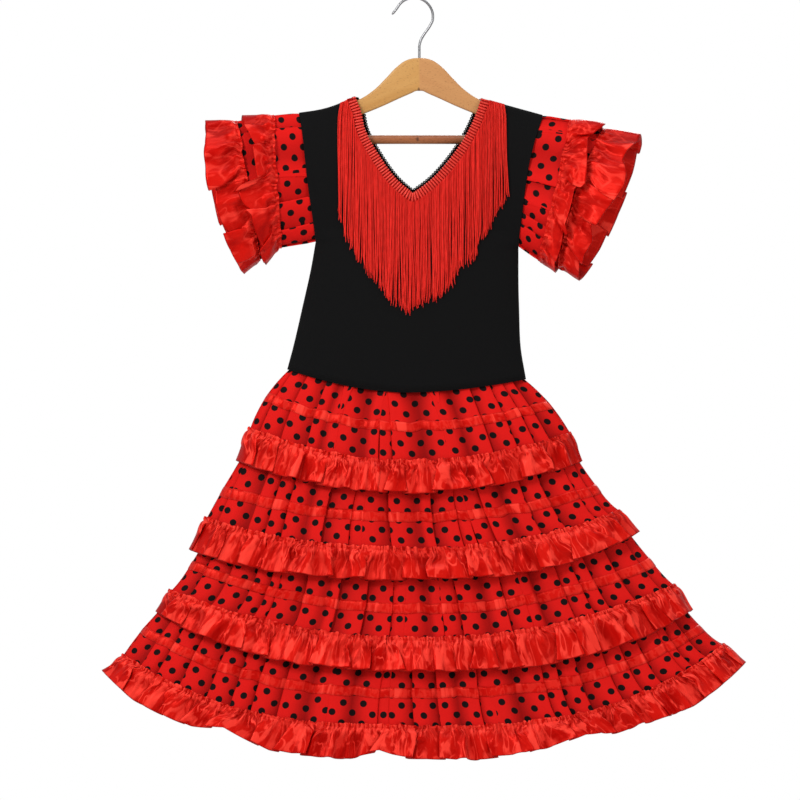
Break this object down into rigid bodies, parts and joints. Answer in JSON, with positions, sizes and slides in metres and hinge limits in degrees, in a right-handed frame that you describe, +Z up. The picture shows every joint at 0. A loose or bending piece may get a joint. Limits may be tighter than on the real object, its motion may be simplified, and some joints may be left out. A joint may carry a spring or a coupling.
{
  "type": "flamenco dress on a wooden hanger",
  "caption": "Child's flamenco dress with a black fringed bodice, dotted tiers and satin ruffles, hung flat on a wooden hanger with a wire hook.",
  "frame": {"origin": "inside top of the hanger's hook, where a rail carries it", "axes": "+Z up along the dress, +X to the right of a viewer in front of it, and the front faces -Y"},
  "size_m": [0.8496, 0.1907, 1.0046],
  "materials": {
    "black_knit": "matt stretch knit",
    "dotted_cloth": "red woven cloth with small black dots",
    "red_satin": "glossy satin",
    "red_fringe": "silky twisted cord",
    "light_wood": "clear varnish",
    "dark_wood": "clear varnish",
    "steel_wire": "plated wire"
  },
  "bodies": {
    "root": {"bodice_back": "black_knit", "bodice_front": "black_knit", "flounce_1_back": "dotted_cloth", "flounce_1_front": "dotted_cloth", "flounce_2_back": "dotted_cloth", "flounce_2_front": "dotted_cloth", "flounce_3_back": "dotted_cloth", "flounce_3_front": "dotted_cloth", "flounce_4_back": "dotted_cloth", "flounce_4_front": "dotted_cloth", "fringe_trim": "red_fringe", "hanger_bar": "dark_wood", "hanger_hook": "steel_wire", "hanger_wood": "light_wood", "neck_edging_back": "black_knit", "ribbon_1": "red_satin", "ribbon_2": "red_satin", "ribbon_3": "red_satin", "ribbon_4": "red_satin", "ruffle_1": "red_satin", "ruffle_2": "red_satin", "ruffle_3": "red_satin", "ruffle_4": "red_satin", "sleeve_left": "dotted_cloth", "sleeve_left_lower_ruffle": "red_satin", "sleeve_left_upper_ruffle": "red_satin", "sleeve_right": "dotted_cloth", "sleeve_right_lower_ruffle": "red_satin", "sleeve_right_upper_ruffle": "red_satin"}
  },
  "joints": []
}
